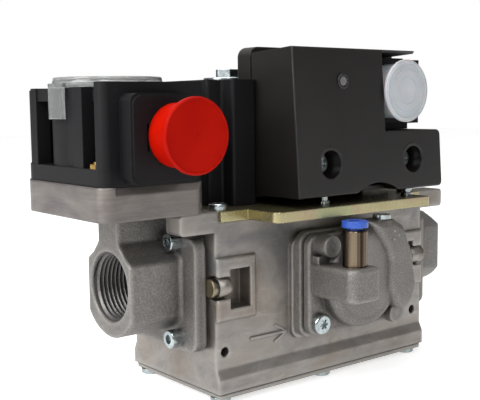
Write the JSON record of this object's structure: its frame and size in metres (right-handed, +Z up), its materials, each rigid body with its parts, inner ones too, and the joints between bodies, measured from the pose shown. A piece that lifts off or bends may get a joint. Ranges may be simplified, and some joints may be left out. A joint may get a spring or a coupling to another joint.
{
  "type": "gas valve",
  "caption": "Combined gas burner valve: threaded flanges on a cast body, twin solenoids, servo regulator, gas pressure switch and electrical housing.",
  "frame": {"origin": "centre of the inlet thread where its first full turn starts", "axes": "+X along the gas flow from inlet to outlet, -Y towards the side with the servo regulator, +Z up through the solenoids"},
  "size_m": [0.1937, 0.0939, 0.1359],
  "materials": {
    "cast_alloy": "die-cast, satin",
    "flange_alloy": "die-cast, blasted matte",
    "machined_alloy": "machined, brushed",
    "yellow_zinc": "yellow chromate zinc plating",
    "zinc": "bright zinc plating",
    "black_plastic": "moulded, fine texture",
    "dark_plastic": "moulded, satin",
    "red_plastic": "soft polyethylene",
    "milky_plastic": "translucent polyethylene",
    "blue_plastic": "moulded",
    "clear_plastic": "clear polycarbonate",
    "dial_plastic": "moulded, ivory",
    "rubber": "nitrile",
    "nickel_brass": "nickel plated brass",
    "brass": "bright",
    "copper": "enamelled copper wire",
    "steel": "ground",
    "board": "glass fibre board"
  },
  "bodies": {
    "valve_body": {"bottom_gasket": "rubber", "bottom_plate": "cast_alloy", "bottom_screws": "zinc", "cable_boss": "black_plastic", "circuit_board": "board", "coil_bobbins": "black_plastic", "coil_housing": "black_plastic", "coil_nuts": "zinc", "coil_washers": "zinc", "coil_windings": "copper", "connector_block": "black_plastic", "connector_pins": "brass", "core_tubes": "steel", "cover_screws": "zinc", "cover_studs": "zinc", "earth_clip": "brass", "fitting_body": "nickel_brass", "flange_screws": "zinc", "flange_seals": "rubber", "flange_washers": "zinc", "front_cover": "dark_plastic", "indicator_lens": "milky_plastic", "inlet_flange": "flange_alloy", "inlet_screen": "steel", "main_body": "cast_alloy", "microswitch": "black_plastic", "outlet_flange": "flange_alloy", "rear_shell": "dark_plastic", "servo_base": "flange_alloy", "servo_cover": "flange_alloy", "servo_diaphragm": "rubber", "servo_plate": "flange_alloy", "servo_screws": "zinc", "side_pins": "nickel_brass", "switch_base": "machined_alloy", "switch_diaphragm": "rubber", "switch_housing": "black_plastic", "switch_screws": "zinc", "switch_seal": "rubber", "switch_spring": "steel", "switch_terminals": "brass", "tube_seals": "rubber", "valve_spring_1": "steel", "valve_spring_2": "steel", "yoke_plate": "yellow_zinc", "yoke_screws": "zinc"},
    "first_valve": {"valve_disc_1": "steel", "disc_seal_1": "rubber", "plunger_1": "steel"},
    "second_valve": {"valve_disc_2": "steel", "disc_seal_2": "rubber", "plunger_2": "steel"},
    "switch_lifter": {"switch_plunger": "steel"},
    "dial": {"setting_dial": "dial_plastic"},
    "dial_cover": {"clear_cover": "clear_plastic"},
    "red_dust_cap": {"red_cap": "red_plastic"},
    "white_dust_cap": {"white_cap": "milky_plastic"},
    "tube_release": {"release_ring": "blue_plastic"},
    "servo_adjuster": {"regulator_screw": "brass"},
    "flow_needle": {"needle_screw": "zinc"}
  },
  "joints": [
    {"name": "valve_1_lift", "type": "slide", "parent": "valve_body", "child": "first_valve", "axis": [0, 0, 1], "range_m": [0, 0.0035], "stiffness_N_per_m": 800, "springref_m": -0.01, "deforming": ["valve_spring_1"]},
    {"name": "valve_2_lift", "type": "slide", "parent": "valve_body", "child": "second_valve", "axis": [0, 0, 1], "range_m": [0, 0.0035], "stiffness_N_per_m": 800, "springref_m": -0.01, "deforming": ["valve_spring_2"]},
    {"name": "switch_lift", "type": "slide", "parent": "valve_body", "child": "switch_lifter", "axis": [0, 0, 1], "range_m": [0, 0.0012], "stiffness_N_per_m": 200, "springref_m": -0.004, "deforming": ["switch_spring"]},
    {"name": "dial_turn", "type": "hinge", "parent": "valve_body", "child": "dial", "pos_m": [0.0024, 0.0017, 0.066], "axis": [0, 0, 1], "range_deg": [0, 270]},
    {"name": "dial_cover_lift", "type": "slide", "parent": "valve_body", "child": "dial_cover", "axis": [0, 0, 1], "range_m": [0, 0.02]},
    {"name": "red_cap_pull", "type": "slide", "parent": "valve_body", "child": "red_dust_cap", "axis": [0, -1, 0], "range_m": [0, 0.015]},
    {"name": "white_cap_pull", "type": "slide", "parent": "valve_body", "child": "white_dust_cap", "axis": [0, -1, 0], "range_m": [0, 0.015]},
    {"name": "release_push", "type": "slide", "parent": "valve_body", "child": "tube_release", "axis": [0, 0, -1], "range_m": [0, 0.0008], "stiffness_N_per_m": 1500, "springref_m": -0.0005},
    {"name": "servo_adjust", "type": "hinge", "parent": "valve_body", "child": "servo_adjuster", "pos_m": [0.094, -0.042, -0.0025], "axis": [0, 1, 0], "range_deg": [-1080, 1080]},
    {"name": "needle_turn", "type": "hinge", "parent": "valve_body", "child": "flow_needle", "pos_m": [0.1042, -0.0418, 0.018], "axis": [0, 0, 1], "range_deg": [-720, 720]}
  ]
}
